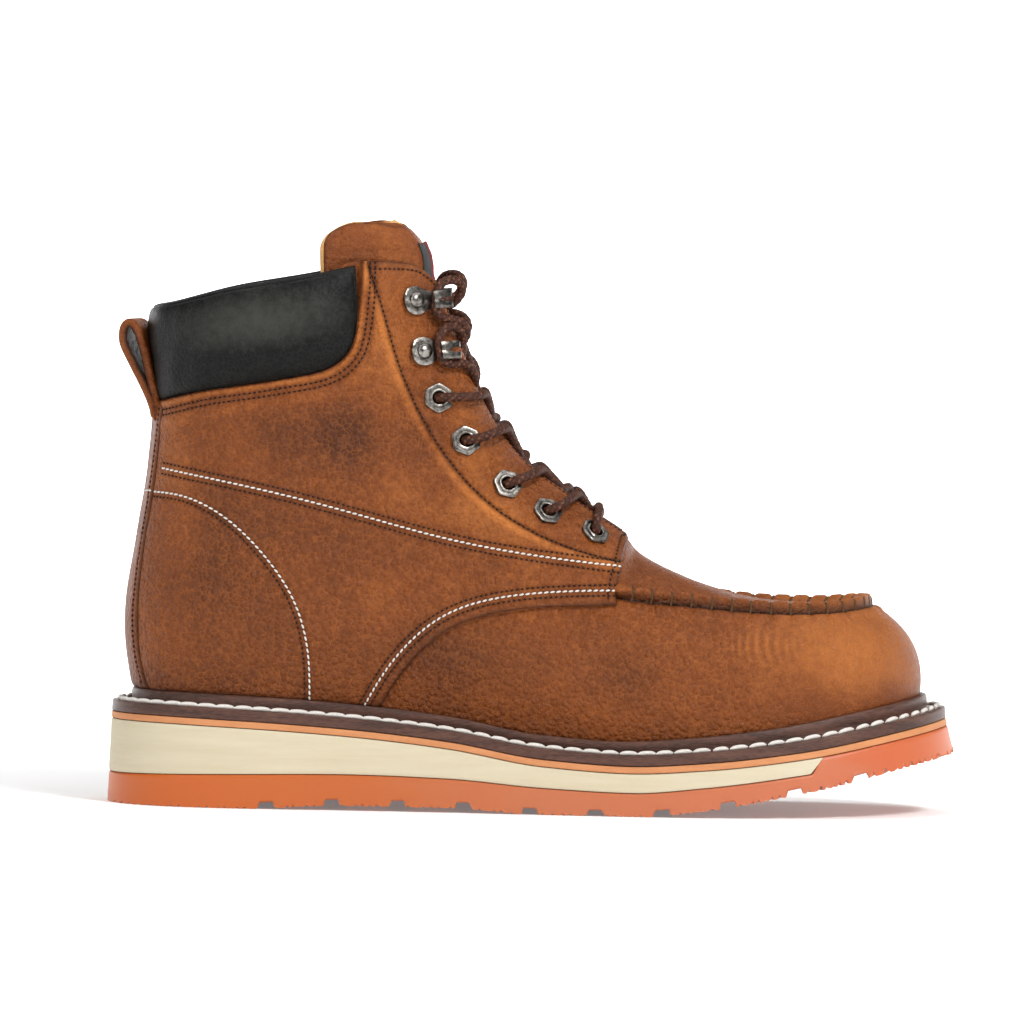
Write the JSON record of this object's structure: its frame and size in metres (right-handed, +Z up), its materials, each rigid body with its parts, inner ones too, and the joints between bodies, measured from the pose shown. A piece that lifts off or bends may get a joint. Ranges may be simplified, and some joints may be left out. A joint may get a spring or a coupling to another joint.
{
  "type": "moc toe work boot",
  "caption": "Right lace-up ankle work boot with a raised moc toe seam, padded collar, hexagonal eyelets, lace hooks, heel pull loop and a layered wedge sole.",
  "frame": {"origin": "on the floor under the centre of the boot's bounding box", "axes": "+X from heel to toe, +Y to the inner (medial) side of the foot, +Z up"},
  "size_m": [0.3046, 0.1104, 0.2118],
  "materials": {
    "brown_leather": "oiled tan-brown leather with fine pebbled grain",
    "black_leather": "smooth black leather, satin",
    "gum_rubber": "matt orange gum rubber",
    "tan_rubber": "matt tan rubber sheet",
    "cream_foam": "matt cream closed-cell rubber foam",
    "brown_rubber": "satin dark brown welt",
    "insole_board": "plain light leather board",
    "antique_nickel": "dark antique nickel plating",
    "brown_cord": "round braided dark brown lace"
  },
  "bodies": {
    "root": {"backstay": "brown_leather", "collar_pad": "black_leather", "eyelet_lateral_1": "antique_nickel", "eyelet_lateral_2": "antique_nickel", "eyelet_lateral_3": "antique_nickel", "eyelet_lateral_4": "antique_nickel", "eyelet_lateral_5": "antique_nickel", "eyelet_medial_1": "antique_nickel", "eyelet_medial_2": "antique_nickel", "eyelet_medial_3": "antique_nickel", "eyelet_medial_4": "antique_nickel", "eyelet_medial_5": "antique_nickel", "hook_lateral_1": "antique_nickel", "hook_lateral_2": "antique_nickel", "hook_medial_1": "antique_nickel", "hook_medial_2": "antique_nickel", "insole": "insole_board", "lace_bar": "brown_cord", "lace_crossing_1": "brown_cord", "lace_crossing_2": "brown_cord", "lace_crossing_3": "brown_cord", "lace_crossing_4": "brown_cord", "lace_crossing_5": "brown_cord", "lace_crossing_6": "brown_cord", "midsole_wedge": "cream_foam", "outsole": "gum_rubber", "pull_loop": "brown_leather", "quarter_lateral": "brown_leather", "quarter_medial": "brown_leather", "slip_sole": "tan_rubber", "tongue": "brown_leather", "upper": "brown_leather", "welt": "brown_rubber"}
  },
  "joints": []
}
